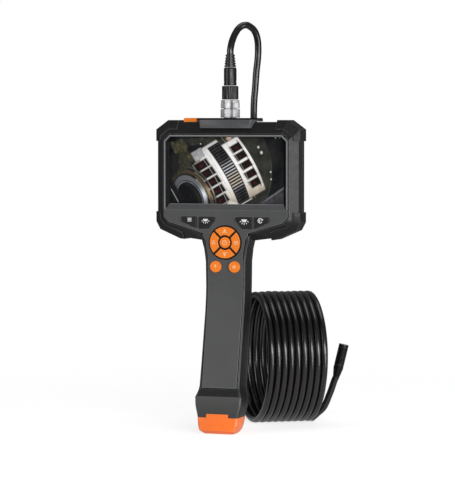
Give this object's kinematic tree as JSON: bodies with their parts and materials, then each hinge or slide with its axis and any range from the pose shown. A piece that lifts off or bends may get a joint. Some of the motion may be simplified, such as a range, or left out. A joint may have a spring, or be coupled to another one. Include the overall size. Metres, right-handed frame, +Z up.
{
  "type": "inspection camera",
  "caption": "Handheld inspection camera: display head on a raked grip, key pad, hinged end cap over its ports, and a coiled push cable with a lit camera probe plugged in on top.",
  "frame": {"origin": "centre of the foot of the unit's own box, with the free cable left out; the flat foot of the end cap lies on z = 0", "axes": "+Z up along the upright display head and grip, the display faces -Y, +X to the right as the display is read"},
  "size_m": [0.1397, 0.162, 0.3242],
  "materials": {
    "housing_black": "fine-textured moulded plastic",
    "panel_grey": "satin moulded plastic",
    "bumper_rubber": "soft-touch overmould",
    "key_orange": "satin silicone key",
    "key_black": "satin key with white icon",
    "cap_orange": "satin moulded plastic",
    "screen_glass": "hard-coated window",
    "display": "liquid crystal panel",
    "tray_white": "white backlight tray",
    "board_green": "solder-masked circuit board",
    "ribbon_amber": "polyimide ribbon",
    "membrane_grey": "silicone membrane",
    "metal_silver": "satin nickel-plated turned metal",
    "steel_dark": "black-oxide screw",
    "plug_black": "moulded plug body",
    "cable_black": "semi-rigid gloss cable jacket",
    "probe_black": "black anodised probe housing",
    "led_white": "clear lamp ring",
    "lens_glass": "camera lens",
    "cell_wrap": "shrink-wrapped cell",
    "card_black": "moulded memory card"
  },
  "bodies": {
    "unit": {"front_shell": "housing_black", "rear_shell": "housing_black", "front_bezel": "panel_grey", "screen_window": "screen_glass", "lcd_panel": "display", "backlight_tray": "tray_white", "main_board": "board_green", "ribbon_cable": "ribbon_amber", "keypad_membrane": "membrane_grey", "keypad_board": "board_green", "dpad_frame": "key_black", "bumper_top_left": "bumper_rubber", "bumper_top_right": "bumper_rubber", "bumper_bottom_left": "bumper_rubber", "bumper_bottom_right": "bumper_rubber", "connector_block": "panel_grey", "receptacle": "metal_silver", "plug_grip": "plug_black", "plug_body": "plug_black", "strain_relief": "plug_black", "cable_loop": "cable_black", "cable_coil": "cable_black", "cable_tail": "cable_black", "probe_body": "probe_black", "probe_led_ring": "led_white", "probe_lens": "lens_glass", "battery_cell": "cell_wrap", "battery_cradle": "key_black", "port_panel": "key_black", "usb_socket": "metal_silver", "card_slot": "metal_silver", "memory_card": "card_black", "hinge_pin": "metal_silver", "screw_1": "steel_dark", "screw_2": "steel_dark", "screw_3": "steel_dark", "screw_4": "steel_dark", "screw_5": "steel_dark", "screw_6": "steel_dark"},
    "end_cap": {"end_cap": "cap_orange"},
    "coupling_nut": {"coupling_nut": "metal_silver"},
    "ok_key": {"ok_key": "key_orange"},
    "key_top": {"key_top": "key_orange"},
    "dpad_right": {"dpad_right": "key_orange"},
    "dpad_up": {"dpad_up": "key_orange"},
    "dpad_left": {"dpad_left": "key_orange"},
    "dpad_down": {"dpad_down": "key_orange"},
    "key_round_left": {"key_round_left": "key_orange"},
    "key_round_right": {"key_round_right": "key_orange"},
    "key_menu": {"key_menu": "key_black"},
    "key_light_down": {"key_light_down": "key_black"},
    "key_light_up": {"key_light_up": "key_black"},
    "key_rotate": {"key_rotate": "key_black"}
  },
  "joints": [
    {"name": "cap_hinge", "type": "hinge", "parent": "unit", "child": "end_cap", "pos_m": [0, 0.0106, 0.0122], "axis": [1, 0, 0], "range_deg": [0, 100]},
    {"name": "nut_turn", "type": "hinge", "parent": "unit", "child": "coupling_nut", "pos_m": [0, 0.0067, 0.259], "axis": [0, 0, 1], "range_deg": [0, 90]},
    {"name": "top_press", "type": "slide", "parent": "unit", "child": "key_top", "axis": [0, 0, -1], "range_m": [0, 0.001], "stiffness_N_per_m": 1200},
    {"name": "right_press", "type": "slide", "parent": "unit", "child": "dpad_right", "axis": [0, 1, 0], "range_m": [0, 0.0006], "stiffness_N_per_m": 1500},
    {"name": "up_press", "type": "slide", "parent": "unit", "child": "dpad_up", "axis": [0, 1, 0], "range_m": [0, 0.0006], "stiffness_N_per_m": 1500},
    {"name": "left_press", "type": "slide", "parent": "unit", "child": "dpad_left", "axis": [0, 1, 0], "range_m": [0, 0.0006], "stiffness_N_per_m": 1500},
    {"name": "down_press", "type": "slide", "parent": "unit", "child": "dpad_down", "axis": [0, 1, 0], "range_m": [0, 0.0006], "stiffness_N_per_m": 1500},
    {"name": "ok_press", "type": "slide", "parent": "unit", "child": "ok_key", "axis": [0, 1, 0], "range_m": [0, 0.0006], "stiffness_N_per_m": 1500},
    {"name": "round_left_press", "type": "slide", "parent": "unit", "child": "key_round_left", "axis": [0, 1, 0], "range_m": [0, 0.0006], "stiffness_N_per_m": 1500},
    {"name": "round_right_press", "type": "slide", "parent": "unit", "child": "key_round_right", "axis": [0, 1, 0], "range_m": [0, 0.0006], "stiffness_N_per_m": 1500},
    {"name": "menu_press", "type": "slide", "parent": "unit", "child": "key_menu", "axis": [0, 1, 0], "range_m": [0, 0.0006], "stiffness_N_per_m": 1500},
    {"name": "light_down_press", "type": "slide", "parent": "unit", "child": "key_light_down", "axis": [0, 1, 0], "range_m": [0, 0.0006], "stiffness_N_per_m": 1500},
    {"name": "light_up_press", "type": "slide", "parent": "unit", "child": "key_light_up", "axis": [0, 1, 0], "range_m": [0, 0.0006], "stiffness_N_per_m": 1500},
    {"name": "rotate_press", "type": "slide", "parent": "unit", "child": "key_rotate", "axis": [0, 1, 0], "range_m": [0, 0.0006], "stiffness_N_per_m": 1500}
  ]
}
